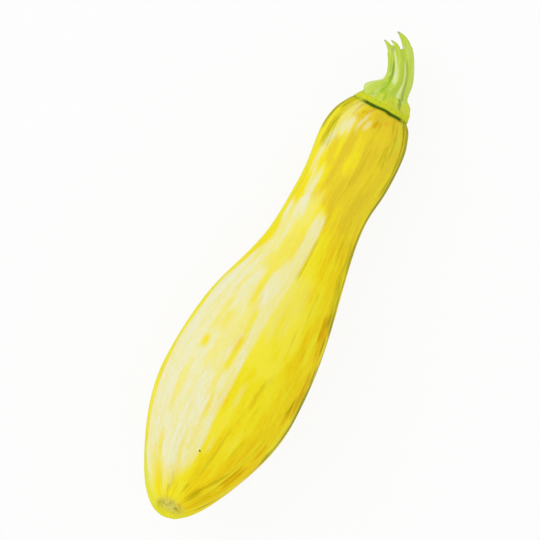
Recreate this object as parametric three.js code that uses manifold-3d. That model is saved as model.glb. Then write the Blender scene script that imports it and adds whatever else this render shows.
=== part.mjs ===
// A yellow straightneck squash, picked, lying on its side: the fruit and its stem.
//
// Millimetres, +Z up. The squash lies along X, with its blossom end at -X and its stem at +X. It rests on the
// plane z = 0 in two places: on the belly and on the swell below the stem, where the skin is pressed flat.
// The origin is on that plane, under the middle of the squash's bounding box.
//
// The fruit is a skin over round sections along an axis. Positions along the axis are measured from the
// blossom end. Angles round the axis start at the top and turn towards +Y.

import * as THREE from "three";
import { mergeVertices } from "three/addons/utils/BufferGeometryUtils.js";
import Module from "manifold-3d";

const wasm = await Module();
wasm.setup();

const DEGREE = Math.PI / 180;

// ---------------------------------------------------------------------------------------------------------
// Driving dimensions

// The fruit's outline: distance along the axis, and radius. Past the crease comes the collar that the stem
// stands on, which ends in the rim.
const BELLY = { at: 53, radius: 29.3 };
const NECK = { at: 142, radius: 16.65 };
const HEAD = { at: 164.4, radius: 18.3 };
const CREASE = { at: 182.4, radius: 12.2 };
const RIM = { at: 186.6, radius: 10.6 };

// How far each curve of the outline runs straight on from its two ends.
const TIP_ROUNDING = 8.6;
const BELLY_EASE = { before: 24.5, after: 45.5 };
const NECK_EASE = { before: 39.5, after: 4 };
const HEAD_EASE = { before: 8, after: 12 };
const RIM_ROUNDING = 1.4;

// The shoulder comes down to the crease, and the collar rises out of it: steps along the axis and in radius.
const SHOULDER_FALL = { along: 2.2, radius: 2.1 };
const COLLAR_RISE = { along: 1.2, radius: 0.4 };

// The scar that the blossom left: a shallow round dish in the end of the fruit.
const SCAR = { radius: 4.5, depth: 0.6, floorRadius: 3.6 };

// The shallow seat that the stem stands in.
const SEAT = { at: 185.7, radius: 10.5 };

// How the axis lies: it sinks towards the stem. Over the last stretch to the blossom end it climbs, and the
// sections lean back with it, so that the scar faces up and away from the stem.
const REST_TILT = 6.04 * DEGREE;
const AXIS_HEIGHT_AT_BELLY = 29.48;
const UPTURN = { length: 26, climb: 10.8, lean: 40 * DEGREE };

// Past this place the sections turn back, so that the stem end faces a little upwards.
const STEM_END = { from: 168, turn: 12 * DEGREE };

// The axis sways a little to the side: distance along the axis, and offset towards +Y.
const SWAY = [
  [0, 0.6],
  [40, 0.8],
  [81, 0.5],
  [115, -0.9],
  [138, -0.2],
  [151, -0.6],
  [169, 0.2],
  [180, 0.3],
  [186.6, -0.8],
];

// Ten low ribs run the length of the fruit: distance along the axis, and depth of the grooves between them.
const RIBS = 10;
const RIB_DEPTH = [
  [0, 0.1],
  [14, 0.8],
  [48, 0.25],
  [146, 0.2],
  [176, 0.7],
  [186.6, 0.1],
];

const FRUIT_SEGMENTS_AROUND = 60;
const FRUIT_SEGMENTS_PER_CURVE = 12;

// The stem's sections: distance from the seat, offset towards +Y, radius, and heading turned towards +Y.
const STEM_SECTIONS = [
  { along: 0, side: 0, radius: 9.9, heading: 0 },
  { along: 0.6, side: 0, radius: 10.2, heading: 0 },
  { along: 1.4, side: 0.2, radius: 10.9, heading: 0 },
  { along: 3, side: 0.7, radius: 10.9, heading: 0 },
  { along: 4.2, side: 1.1, radius: 10.1, heading: 0 },
  { along: 5.6, side: 1.2, radius: 8.6, heading: 0 },
  { along: 8.2, side: -0.1, radius: 6.7, heading: 0 },
  { along: 10.4, side: -0.3, radius: 6.2, heading: 6 },
  { along: 13, side: 0.2, radius: 5.8, heading: 16 },
  { along: 16, side: 1.4, radius: 5.6, heading: 23 },
  { along: 19.2, side: 3.1, radius: 5.5, heading: 32 },
  { along: 22.4, side: 5.4, radius: 5.3, heading: 40 },
];
const STEM_SEGMENTS_AROUND = 40;
const STEM_STEPS = 33;
const STEM_GAP = 0.3;

// Five ribs run along the stem, with grooves between them that take this share of its radius. They are
// unevenly spaced: those near one angle are turned by this many degrees, which fades out over the reach.
const STEM_RIBS = 5;
const STEM_GROOVE = 0.24;
const STEM_UNEVENNESS = { near: -22, turn: 17, reach: 35 };

// Each rib ends past the torn end in a pointed strip, at this angle round the stem, that curls on towards +Y.
const STRIPS = [
  { angle: -62, length: 7.9, radius: 1.8, curl: 38 },
  { angle: 9, length: 4.9, radius: 1.05, curl: 48 },
  { angle: 64, length: 5.6, radius: 1.15, curl: 36 },
  { angle: 144, length: 2.4, radius: 1.2, curl: 30 },
  { angle: 216, length: 1.6, radius: 1.2, curl: 20 },
];
const STRIP_ROOT = 5;
const STRIP_TIP_RADIUS = 0.25;
const STRIP_TAPER = 1.6;
const STRIP_STEPS = 12;
const STRIP_SIDES = 8;

const SKIN = { color: 0xf0d52a, roughness: 0.42, metalness: 0 };
const STEM_SKIN = { color: 0xb5cf45, roughness: 0.6, metalness: 0 };

// ---------------------------------------------------------------------------------------------------------
// Shared shapes

// The value at x of a curve that is level at each [x, value] and eases between them.
function eased(stations, x) {
  if (x <= stations[0][0]) return stations[0][1];
  for (let i = 1; i < stations.length; i++) {
    const [x0, v0] = stations[i - 1];
    const [x1, v1] = stations[i];
    if (x <= x1) return v0 + (v1 - v0) * THREE.MathUtils.smoothstep(x, x0, x1);
  }
  return stations[stations.length - 1][1];
}

// How deep the grooves between a number of round ribs are at an angle, from 0 on a rib to 1 in a groove.
function grooveAt(ribs, angle) {
  return 1 - Math.abs(Math.cos((ribs / 2) * angle));
}

// A closed geometry over rings with equally many points, with a fan over each end.
function skinOver(rings) {
  const around = rings[0].length;
  const points = rings.flat();
  const faces = [];
  for (let ring = 0; ring < rings.length - 1; ring++) {
    for (let k = 0; k < around; k++) {
      const a = ring * around + k;
      const b = ring * around + ((k + 1) % around);
      faces.push(a, a + around, b, b, a + around, b + around);
    }
  }
  const middleOf = (ring) => ring.reduce((sum, p) => sum.add(p), new THREE.Vector3()).divideScalar(around);
  const first = points.push(middleOf(rings[0])) - 1;
  const last = points.push(middleOf(rings[rings.length - 1])) - 1;
  const lastRing = (rings.length - 1) * around;
  for (let k = 0; k < around; k++) {
    const next = (k + 1) % around;
    faces.push(first, k, next);
    faces.push(last, lastRing + next, lastRing + k);
  }
  return new THREE.BufferGeometry().setFromPoints(points).setIndex(faces);
}

// A point of a section: its middle, plus a radius at an angle that starts at up and turns towards side.
function onSection(section, radius, angle) {
  return section.middle
    .clone()
    .addScaledVector(section.up, radius * Math.cos(angle))
    .addScaledVector(section.side, radius * Math.sin(angle));
}

function solidOf(geometry) {
  const merged = mergeVertices(geometry, 1e-4);
  return new wasm.Manifold(
    new wasm.Mesh({
      numProp: 3,
      vertProperties: merged.attributes.position.array,
      triVerts: new Uint32Array(merged.index.array),
    }),
  );
}

function geometryOf(solid) {
  const mesh = solid.getMesh();
  return new THREE.BufferGeometry()
    .setAttribute("position", new THREE.BufferAttribute(mesh.vertProperties, 3))
    .setIndex(new THREE.BufferAttribute(mesh.triVerts, 1));
}

// ---------------------------------------------------------------------------------------------------------
// Fruit

// The section of the fruit at a distance along its axis.
function fruitSection(at) {
  const upturn = Math.max(0, 1 - at / UPTURN.length) ** 2;
  const fromBelly = at - BELLY.at;
  const stemEnd = THREE.MathUtils.smoothstep(at, STEM_END.from, SEAT.at);
  const lean = REST_TILT + UPTURN.lean * upturn - STEM_END.turn * stemEnd;
  return {
    lean,
    middle: new THREE.Vector3(
      fromBelly * Math.cos(REST_TILT),
      eased(SWAY, at),
      AXIS_HEIGHT_AT_BELLY - fromBelly * Math.sin(REST_TILT) + UPTURN.climb * upturn,
    ),
    along: new THREE.Vector3(Math.cos(lean), 0, -Math.sin(lean)),
    up: new THREE.Vector3(Math.sin(lean), 0, Math.cos(lean)),
    side: new THREE.Vector3(0, 1, 0),
  };
}

// The outline from the floor of the scar to the floor of the seat: x along the axis, y radius.
function fruitOutline() {
  const path = new THREE.Path();
  path.moveTo(SCAR.depth, SCAR.floorRadius);
  path.lineTo(0, SCAR.radius);
  path.bezierCurveTo(
    0, SCAR.radius + TIP_ROUNDING, BELLY.at - BELLY_EASE.before, BELLY.radius, BELLY.at, BELLY.radius,
  );
  path.bezierCurveTo(
    BELLY.at + BELLY_EASE.after, BELLY.radius, NECK.at - NECK_EASE.before, NECK.radius, NECK.at, NECK.radius,
  );
  path.bezierCurveTo(
    NECK.at + NECK_EASE.after, NECK.radius, HEAD.at - HEAD_EASE.before, HEAD.radius, HEAD.at, HEAD.radius,
  );
  path.bezierCurveTo(
    HEAD.at + HEAD_EASE.after, HEAD.radius,
    CREASE.at - SHOULDER_FALL.along, CREASE.radius + SHOULDER_FALL.radius,
    CREASE.at, CREASE.radius,
  );
  path.bezierCurveTo(
    CREASE.at + COLLAR_RISE.along, CREASE.radius + COLLAR_RISE.radius,
    RIM.at, RIM.radius + RIM_ROUNDING,
    RIM.at, RIM.radius,
  );
  path.lineTo(SEAT.at, SEAT.radius);
  return path.getPoints(FRUIT_SEGMENTS_PER_CURVE);
}

function fruitGeometry() {
  const rings = fruitOutline().map(({ x: at, y: radius }) => {
    const section = fruitSection(at);
    const depth = eased(RIB_DEPTH, at);
    return Array.from({ length: FRUIT_SEGMENTS_AROUND }, (_, k) => {
      const angle = (2 * Math.PI * k) / FRUIT_SEGMENTS_AROUND;
      const point = onSection(section, radius - depth * grooveAt(RIBS, angle), angle);
      point.z = Math.max(point.z, 0);
      return point;
    });
  });
  return skinOver(rings);
}

// ---------------------------------------------------------------------------------------------------------
// Stem, in a frame of its own: X away from the fruit, Y to the side, Z up, origin in the middle of its foot

const stemCurve = new THREE.CatmullRomCurve3(
  STEM_SECTIONS.map(({ along, side }) => new THREE.Vector3(along, side, 0)),
);

// The section of the stem at t, from 0 at its foot to 1 at its torn end.
function stemSection(t) {
  const place = t * (STEM_SECTIONS.length - 1);
  const i = Math.min(Math.floor(place), STEM_SECTIONS.length - 2);
  const mix = (key) => THREE.MathUtils.lerp(STEM_SECTIONS[i][key], STEM_SECTIONS[i + 1][key], place - i);
  const heading = mix("heading") * DEGREE;
  return {
    middle: stemCurve.getPoint(t),
    up: new THREE.Vector3(0, 0, 1),
    side: new THREE.Vector3(-Math.sin(heading), Math.cos(heading), 0),
    radius: mix("radius"),
    heading,
  };
}

function stemGroove(angle) {
  const { near, turn, reach } = STEM_UNEVENNESS;
  const fromMiddle = (angle / DEGREE - near) / reach;
  return grooveAt(STEM_RIBS, angle - turn * DEGREE * Math.exp(-fromMiddle * fromMiddle));
}

function stalkGeometry() {
  const rings = Array.from({ length: STEM_STEPS + 1 }, (_, step) => {
    const section = stemSection(step / STEM_STEPS);
    return Array.from({ length: STEM_SEGMENTS_AROUND }, (_, k) => {
      const angle = (2 * Math.PI * k) / STEM_SEGMENTS_AROUND - Math.PI;
      return onSection(section, section.radius * (1 - STEM_GROOVE * stemGroove(angle)), angle);
    });
  });
  return skinOver(rings);
}

// A strip starts inside the stalk, under the crest of its rib, and tapers to its tip as it curls to the side.
function stripGeometry({ angle, length, radius, curl }) {
  const end = stemSection(1);
  const step = (STRIP_ROOT + length) / STRIP_STEPS;
  const middle = onSection(end, end.radius - radius, angle * DEGREE);
  middle.x -= STRIP_ROOT * Math.cos(end.heading);
  middle.y -= STRIP_ROOT * Math.sin(end.heading);
  const rings = [];
  for (let i = 0; i <= STRIP_STEPS; i++) {
    const past = Math.max(0, i * step - STRIP_ROOT) / length;
    const heading = end.heading + curl * DEGREE * past;
    const section = {
      middle: middle.clone(),
      up: new THREE.Vector3(0, 0, 1),
      side: new THREE.Vector3(-Math.sin(heading), Math.cos(heading), 0),
    };
    const thickness = THREE.MathUtils.lerp(radius, STRIP_TIP_RADIUS, Math.pow(past, STRIP_TAPER));
    const corner = (k) => onSection(section, thickness, (2 * Math.PI * k) / STRIP_SIDES);
    rings.push(Array.from({ length: STRIP_SIDES }, (_, k) => corner(k)));
    middle.x += step * Math.cos(heading);
    middle.y += step * Math.sin(heading);
  }
  return skinOver(rings);
}

function stemGeometry() {
  const strips = STRIPS.map((strip) => solidOf(stripGeometry(strip)));
  const joined = strips.reduce((whole, strip) => whole.add(strip), solidOf(stalkGeometry()));
  return geometryOf(joined);
}

// ---------------------------------------------------------------------------------------------------------
// Assembly

function named(name, geometry, finish) {
  const mesh = new THREE.Mesh(geometry, new THREE.MeshStandardMaterial(finish));
  mesh.name = name;
  return mesh;
}

const squash = new THREE.Group();
squash.add(named("fruit", fruitGeometry(), SKIN));

const seat = fruitSection(SEAT.at);
const stem = named("stem", stemGeometry(), STEM_SKIN);
stem.position.copy(seat.middle).addScaledVector(seat.along, STEM_GAP);
stem.rotation.y = seat.lean;
squash.add(stem);

const middle = new THREE.Box3().setFromObject(squash).getCenter(new THREE.Vector3());
squash.position.set(-middle.x, -middle.y, 0);

const part = new THREE.Group();
part.add(squash);

export default part;
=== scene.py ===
# A yellow straightneck squash, picked, lying on a white floor and seen from straight above.
#
# The shape is the part's own in finer steps: the sizes below are those of its source, in millimetres, and are
# turned into Blender's metres where a mesh is made. Positions along the fruit's axis are measured from the
# blossom end. Angles round it are in degrees, start at the top and turn towards +Y.

import math

import bpy
import numpy as np
from mathutils import Matrix, Vector, noise


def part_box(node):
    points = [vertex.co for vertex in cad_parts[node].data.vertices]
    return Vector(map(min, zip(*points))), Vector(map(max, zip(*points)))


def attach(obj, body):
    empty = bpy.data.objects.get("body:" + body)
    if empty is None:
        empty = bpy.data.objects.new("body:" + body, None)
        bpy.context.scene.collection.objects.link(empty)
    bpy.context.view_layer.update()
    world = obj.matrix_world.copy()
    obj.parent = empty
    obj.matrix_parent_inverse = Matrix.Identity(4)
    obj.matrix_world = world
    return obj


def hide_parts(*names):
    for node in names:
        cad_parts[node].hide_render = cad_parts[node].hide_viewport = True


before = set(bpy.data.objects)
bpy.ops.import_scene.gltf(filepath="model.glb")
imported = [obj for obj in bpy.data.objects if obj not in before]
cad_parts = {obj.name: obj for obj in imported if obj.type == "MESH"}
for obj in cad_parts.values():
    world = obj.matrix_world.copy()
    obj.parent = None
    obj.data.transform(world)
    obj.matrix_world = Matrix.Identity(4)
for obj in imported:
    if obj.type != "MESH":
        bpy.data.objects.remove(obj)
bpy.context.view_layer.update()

MM = 0.001

# ---------------------------------------------------------------------------------------------------------
# Sizes of the part

# Points of the outline: (distance along the axis, radius). The curve is level at the belly, the neck and the
# head, and BEFORE and AFTER are the lengths of its handles there.
BELLY, BELLY_BEFORE, BELLY_AFTER = (53, 29.3), 24.5, 45.5
NECK, NECK_BEFORE, NECK_AFTER = (142, 16.65), 39.5, 4
HEAD, HEAD_BEFORE, HEAD_AFTER = (164.4, 18.3), 8, 12
CREASE, SHOULDER_FALL, COLLAR_RISE = (182.4, 12.2), (2.2, 2.1), (1.2, 0.4)
RIM, RIM_ROUNDING = (186.6, 10.6), 1.4
SEAT = (185.7, 10.5)
SCAR_RADIUS, SCAR_FLOOR, SCAR_DEPTH = 4.5, 3.6, 0.6
TIP_ROUNDING = 8.6

# The axis: how it lies, how both its ends turn up, and how it sways: (distance along, offset towards +Y).
REST_TILT = math.radians(6.04)
AXIS_HEIGHT_AT_BELLY = 29.48
UPTURN_LENGTH, UPTURN_CLIMB, UPTURN_LEAN = 26, 10.8, math.radians(40)
STEM_END_FROM, STEM_END_TURN = 168, math.radians(12)
SWAY = [
    (0, 0.6),
    (40, 0.8),
    (81, 0.5),
    (115, -0.9),
    (138, -0.2),
    (151, -0.6),
    (169, 0.2),
    (180, 0.3),
    (186.6, -0.8),
]

# Faint ribs run along the skin: (distance along, depth).
RIBS = 10
GROOVE_ROUNDING = 0.1
RIB_DEPTH = [(0, 0.1), (14, 0.8), (48, 0.25), (146, 0.2), (176, 0.7), (186.6, 0.1)]

# The stem's sections: distance from the seat, offset towards +Y, radius, heading turned towards +Y.
STEM_SECTIONS = [
    (0, 0, 9.9, 0),
    (0.6, 0, 10.2, 0),
    (1.4, 0.2, 10.9, 0),
    (3, 0.7, 10.9, 0),
    (4.2, 1.1, 10.1, 0),
    (5.6, 1.2, 8.6, 0),
    (8.2, -0.1, 6.7, 0),
    (10.4, -0.3, 6.2, 6),
    (13, 0.2, 5.8, 16),
    (16, 1.4, 5.6, 23),
    (19.2, 3.1, 5.5, 32),
    (22.4, 5.4, 5.3, 40),
]
STEM_RIBS = 5
STEM_GROOVE = 0.24
STEM_GAP = 0.3
# The ribs round the stem aren't spaced evenly: near one angle they are turned a little.
UNEVEN_NEAR, UNEVEN_TURN, UNEVEN_REACH = -22, 17, 35

# The torn strips: angle round the stem, length, radius, and how far each curls towards +Y.
STRIPS = [
    (-62, 7.9, 1.8, 38),
    (9, 4.9, 1.05, 48),
    (64, 5.6, 1.15, 36),
    (144, 2.4, 1.2, 30),
    (216, 1.6, 1.2, 20),
]
STRIP_ROOT = 5
STRIP_TIP_RADIUS = 0.25
STRIP_TAPER = 1.6

# ---------------------------------------------------------------------------------------------------------
# Helpers

CURVE_POINTS = 200


def smoothstep(low, high, x):
    """Eases from 0 at low to 1 at high."""
    share = np.clip((x - low) / (high - low), 0, 1)
    return share * share * (3 - 2 * share)


def eased(stations, x):
    """A curve that is level at each (x, value) and eases between them."""
    value = stations[0][1] + np.zeros_like(x)
    for (x0, v0), (x1, v1) in zip(stations, stations[1:]):
        value = value + (v1 - v0) * smoothstep(x0, x1, x)
    return value


def bell(x, middle, reach):
    """1 at the middle, and almost nothing at twice the reach."""
    return np.exp(-(((x - middle) / reach) ** 2))


def perlin(points):
    """Smooth noise from -1 to 1 at each point of an array.

    Where it is used, the points are scaled to give the size of its waves, and most noises have a number added
    so that they don't line up with one another.
    """
    flat = points.reshape(-1, 3)
    return np.array([noise.noise(Vector(p)) for p in flat]).reshape(points.shape[:-1])


def wrapped(degrees):
    """The same angle, between -180 and 180."""
    return (degrees + 180) % 360 - 180


def cubic(p0, p1, p2, p3):
    """Points along a cubic curve from p0 to p3, with p1 and p2 as its handles."""
    p0, p1, p2, p3 = (np.array(p, float) for p in (p0, p1, p2, p3))
    t = np.linspace(0, 1, CURVE_POINTS)[:, None]
    return (1 - t) ** 3 * p0 + 3 * (1 - t) ** 2 * t * p1 + 3 * (1 - t) * t * t * p2 + t**3 * p3


def srgb(red, green, blue):
    """A colour from 0 to 255 as Blender's linear RGBA."""
    shares = (red / 255, green / 255, blue / 255)
    linear = [c / 12.92 if c <= 0.04045 else ((c + 0.055) / 1.055) ** 2.4 for c in shares]
    return (*linear, 1)


def closed_tube(name, rings, first_end, last_end):
    """A mesh object over a grid of points, rings by points round, with a pole at each end."""
    count, around = rings.shape[:2]
    points = np.concatenate([rings.reshape(-1, 3), [first_end, last_end]])
    ring = np.arange(count)[:, None] * around
    k = np.arange(around)
    k_next = (k + 1) % around
    sides = [ring[:-1] + k, ring[1:] + k, ring[1:] + k_next, ring[:-1] + k_next]
    quads = np.stack(sides, axis=-1).reshape(-1, 4)
    first_pole, last_ring = count * around, (count - 1) * around
    fans = [(first_pole, int(a), int(b)) for a, b in zip(k, k_next)]
    fans += [(first_pole + 1, int(last_ring + b), int(last_ring + a)) for a, b in zip(k, k_next)]
    mesh = bpy.data.meshes.new(name)
    mesh.from_pydata(points.tolist(), [], quads.tolist() + fans)
    mesh.shade_smooth()
    piece = bpy.data.objects.new(name, mesh)
    bpy.context.scene.collection.objects.link(piece)
    return piece


def store(piece, name, values):
    """Keeps one number, or one vector, for each vertex."""
    values = np.asarray(values, np.float32)
    kind, field = ("FLOAT_VECTOR", "vector") if values.ndim == 2 else ("FLOAT", "value")
    piece.data.attributes.new(name, kind, "POINT").data.foreach_set(field, values.ravel())


# ---------------------------------------------------------------------------------------------------------
# The fruit's sections


def section_frames(at):
    """Middle, along, up and side of the fruit's sections, before the fruit is centred on the frame."""
    upturn = np.maximum(0, 1 - at / UPTURN_LENGTH) ** 2
    from_belly = at - BELLY[0]
    lean = REST_TILT + UPTURN_LEAN * upturn - STEM_END_TURN * smoothstep(STEM_END_FROM, SEAT[0], at)
    zero = np.zeros_like(at)
    height = AXIS_HEIGHT_AT_BELLY - from_belly * math.sin(REST_TILT) + UPTURN_CLIMB * upturn
    middle = np.stack([from_belly * math.cos(REST_TILT), eased(SWAY, at), height], axis=-1)
    along = np.stack([np.cos(lean), zero, -np.sin(lean)], axis=-1)
    up = np.stack([np.sin(lean), zero, np.cos(lean)], axis=-1)
    side = np.stack([zero, zero + 1, zero], axis=-1)
    return middle, along, up, side


def groove_at(ribs, angle):
    """How deep the grooves between a number of ribs are, from 0 on a rib to 1 in a groove."""
    return 1 - np.sqrt(np.cos(ribs / 2 * angle) ** 2 + GROOVE_ROUNDING**2)


# ---------------------------------------------------------------------------------------------------------
# Fruit: its smooth skin

RINGS = 296
AROUND = 330
POLE_RADIUS = 0.2
# The rings lie closer together near both ends.
END_REACH = 14
END_DENSITY = 2.2
# On top, the crease under the collar lies nearer the stem.
CREASE_LEAN, CREASE_LEAN_REACH = 1.6, 3
# The radius of the cylinder on which the skin's noises are laid out.
SKIN_RADIUS = 20


def fruit_outline():
    """Points (distance along the axis, radius) from the middle of the scar to the middle of the seat."""
    scar = [(SCAR_DEPTH, POLE_RADIUS), (SCAR_DEPTH, SCAR_FLOOR)]
    tip = cubic((0, SCAR_RADIUS), (0, SCAR_RADIUS + TIP_ROUNDING), (BELLY[0] - BELLY_BEFORE, BELLY[1]), BELLY)
    waist = cubic(BELLY, (BELLY[0] + BELLY_AFTER, BELLY[1]), (NECK[0] - NECK_BEFORE, NECK[1]), NECK)
    neck = cubic(NECK, (NECK[0] + NECK_AFTER, NECK[1]), (HEAD[0] - HEAD_BEFORE, HEAD[1]), HEAD)
    fall = (CREASE[0] - SHOULDER_FALL[0], CREASE[1] + SHOULDER_FALL[1])
    shoulder = cubic(HEAD, (HEAD[0] + HEAD_AFTER, HEAD[1]), fall, CREASE)
    rise = (CREASE[0] + COLLAR_RISE[0], CREASE[1] + COLLAR_RISE[1])
    collar = cubic(CREASE, rise, (RIM[0], RIM[1] + RIM_ROUNDING), RIM)
    seat = [SEAT, (SEAT[0], POLE_RADIUS)]
    path = np.concatenate([scar, tip, waist[1:], neck[1:], shoulder[1:], collar[1:], seat])
    steps = np.linalg.norm(np.diff(path, axis=0), axis=1)
    middles = (path[1:, 0] + path[:-1, 0]) / 2
    near_end = bell(middles, 0, END_REACH) + bell(middles, RIM[0], END_REACH)
    travelled = np.concatenate([[0], np.cumsum(steps * (1 + END_DENSITY * near_end))])
    wanted = np.linspace(0, travelled[-1], RINGS)
    return np.stack([np.interp(wanted, travelled, path[:, i]) for i in (0, 1)], axis=1)


outline = fruit_outline()
at = outline[:, :1] + np.zeros((1, AROUND))
radius = outline[:, 1:] + np.zeros((1, AROUND))
angle = np.linspace(0, 2 * math.pi, AROUND, endpoint=False)[None, :] + np.zeros((RINGS, 1))
degrees = wrapped(np.degrees(angle))
crease_lean = CREASE_LEAN * bell(at, CREASE[0], CREASE_LEAN_REACH) * np.maximum(0, np.cos(angle))
middle, _, up, side = section_frames(at + crease_lean)
smooth_skin = middle + radius[..., None] * (np.cos(angle)[..., None] * up + np.sin(angle)[..., None] * side)

# The part is centred on its frame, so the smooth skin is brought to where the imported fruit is.
low, high = (np.array(corner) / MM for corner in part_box("fruit"))
side_middle = (smooth_skin[..., 1].min() + smooth_skin[..., 1].max()) / 2
shift = np.array([low[0] - smooth_skin[..., 0].min(), (low[1] + high[1]) / 2 - side_middle, 0])

along_step = np.gradient(smooth_skin, axis=0)
around_step = np.roll(smooth_skin, -1, axis=1) - np.roll(smooth_skin, 1, axis=1)
outward = np.cross(along_step, around_step)
outward /= np.linalg.norm(outward, axis=2, keepdims=True) + 1e-9

# Coordinates that stay with the skin. Squeezed along the last one, noise turns into lengthwise streaks.
skin = np.stack([SKIN_RADIUS * np.cos(angle), SKIN_RADIUS * np.sin(angle), at], axis=-1)

# ---------------------------------------------------------------------------------------------------------
# Fruit: where its colours lie
#
# Each stroke runs lengthwise: from (along, angle) to (along, angle), half width in millimetres, strength.

# The cream patch, a painted highlight on the top and left where the light falls: (along, angle of its right
# edge, angle of its left edge), and where it starts and ends: (angle, along).
CREAM_FIELD = [
    (3, -2, 82),
    (14, -2, 74),
    (20, -1, 67),
    (50, 1, 69),
    (62, 1, 73),
    (78, 0, 70),
    (92, -2, 71),
    (105, -3, 64),
    (115, -3, 55),
    (120, -3, 57),
    (126, -3, 62),
]
CREAM_FROM = [(-2, 13), (8, 8), (20, 4.5), (28, 3), (38, 3.5), (44, 8), (58, 5), (66, 3), (80, 2)]
CREAM_TO = [(9, 131), (12, 126), (20, 122), (26, 126), (31, 137), (40, 139), (46, 132), (52, 130), (60, 132)]
# How far its edges fade: at its sides and its end, and before and after its start.
CREAM_EDGE, CREAM_FADE_BEFORE, CREAM_FADE_AFTER = 2.5, 4, 7
# Cream strokes of painted highlight outside the patch, and yellow strokes inside it.
PALE_HIGHLIGHTS = [
    (130, 38, 147, 37, 1.5, 0.75),
    (136, 43, 150, 50, 1.0, 0.5),
    (146, 56, 152, 55, 1.3, 0.45),
    (150, 55, 159, 50, 1.7, 0.7),
    (157, 48, 167, 39, 1.9, 0.8),
    (164, 36, 173, 29, 2.6, 0.85),
    (165, 28, 174, 26, 1.6, 0.8),
    (166, 38, 182, 38, 2.6, 0.4),
    (170, 7, 175, 4, 1.0, 0.55),
    (169, 17, 179, 12, 0.8, 0.6),
    (122, 24, 138, 24, 3.0, 0.3),
    (76, -5, 104, -6, 2.2, 0.22),
    (80, -16, 90, -16, 2.0, 0.12),
    (88, -16, 104, -16, 4.0, 0.12),
    (46, -9, 55, -9, 1.0, 0.3),
    (26, -8, 32, -8, 0.8, 0.25),
]
LEMON = [
    (2, 66, 9, 68, 2.0, 0.3),
    (6, 57, 17, 56, 2.6, 0.5),
    (4, 46, 14, 45, 3.0, 0.75),
    (12, 44, 26, 42, 1.6, 0.7),
    (14, 51, 20, 51, 2.0, 0.4),
    (5, 15, 14, 14, 3.0, 0.5),
    (12, 16, 27, 18, 1.1, 0.5),
    (12, 3, 30, 5, 1.6, 0.35),
    (20, 9, 36, 9, 1.2, 0.5),
    (34, 9, 48, 10, 1.1, 0.75),
    (46, 13, 60, 14, 1.4, 0.6),
    (40, 3, 60, 3, 1.6, 0.4),
    (33, 42, 53, 41, 1.6, 0.4),
    (56, 11, 74, 10, 1.7, 0.95),
    (72, 11, 86, 12, 1.5, 0.85),
    (66, 16, 90, 17, 1.6, 0.5),
    (56, 23, 82, 22, 4.0, 0.35),
    (66, 3, 110, 2, 2.0, 0.3),
    (61, 38, 67, 39, 2.0, 0.95),
    (68, 39, 86, 39, 1.8, 0.6),
    (70, 32, 80, 31, 2.4, 0.65),
    (86, 42, 96, 42, 1.2, 0.45),
    (83, 19, 106, 25, 1.5, 0.85),
    (100, 25, 128, 23, 4.0, 0.8),
    (106, 15, 128, 16, 2.0, 0.85),
    (102, 34, 112, 34, 1.5, 0.65),
    (98, 9, 120, 8, 1.4, 0.25),
    (108, 40, 130, 40, 2.0, 0.25),
    (104, 54, 122, 56, 2.0, 0.5),
    (116, 31, 127, 30, 1.4, 0.6),
    (114, 48, 128, 46, 2.0, 0.4),
    (124, 51, 134, 50, 1.6, 0.6),
    (128, 12, 134, 14, 3.0, 0.5),
]
# A greenish tinge, down the left flank and round the blossom end.
LIME = [
    (4, 85, 42, 83, 3.2, 0.8),
    (36, 83, 96, 81, 3.0, 0.9),
    (90, 78, 122, 76, 2.4, 0.5),
    (116, 75, 168, 73, 2.6, 0.6),
    (0, 98, 24, 94, 5.0, 0.85),
    (-6, 130, 14, 130, 7.0, 0.75),
    (-6, 165, 10, 165, 7.0, 0.75),
    (-6, -155, 9, -155, 7.0, 0.75),
    (-6, -120, 8, -120, 6.0, 0.65),
    (168, -50, 184, -54, 2.6, 0.45),
]
# Deeper yellow, and strokes that take it away again.
GOLD = [
    (6, -8, 26, -6, 3.4, 0.5),
    (2, -34, 40, -40, 5.0, 0.6),
    (14, -52, 50, -52, 3.0, 0.5),
    (96, -30, 128, -30, 6.0, 0.5),
    (124, -14, 150, -6, 4.0, 0.6),
    (128, -30, 150, -26, 5.0, 0.7),
    (132, 0, 152, 6, 4.0, 0.9),
    (140, 16, 168, 16, 2.6, 0.9),
    (150, 34, 164, 32, 2.4, 0.5),
    (145, -9, 170, -10, 2.2, 0.8),
    (140, -44, 180, -42, 4.0, 0.6),
    (170, -4, 183, -4, 5.0, 0.7),
    (168, 8, 182, 14, 5.0, 0.6),
]
LIGHTER = [
    (120, 20, 134, 20, 6.0, 0.8),
    (150, 4, 174, 0, 3.2, 0.25),
    (72, -50, 86, -51, 1.6, 0.6),
    (28, -24, 38, -24, 2.0, 0.4),
    (64, -12, 106, -14, 7.0, 0.5),
    (74, -24, 108, -22, 6.0, 0.65),
    (106, -14, 124, -14, 4.0, 0.3),
]
# Brownish streaks. Those on the right flank are painted shade, on the side away from the light; those by the
# collar are orange flecks.
OCHRE_SHADE_AND_FLECKS = [
    (14, -56, 28, -56, 2.2, 0.95),
    (33, -61, 42, -60, 2.2, 0.5),
    (50, -59, 60, -61, 2.0, 0.8),
    (56, -65, 74, -65, 3.2, 0.85),
    (86, -58, 98, -58, 2.6, 0.9),
    (78, -64, 92, -64, 2.6, 0.75),
    (96, -60, 116, -54, 3.0, 0.45),
    (84, -36, 100, -38, 1.8, 0.3),
    (173, -2, 178, -8, 1.5, 0.75),
    (178, 22, 182, 8, 1.6, 0.7),
    (178, -24, 182, -30, 1.4, 0.6),
    (172, 26, 179, 22, 2.0, 0.4),
]
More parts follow.
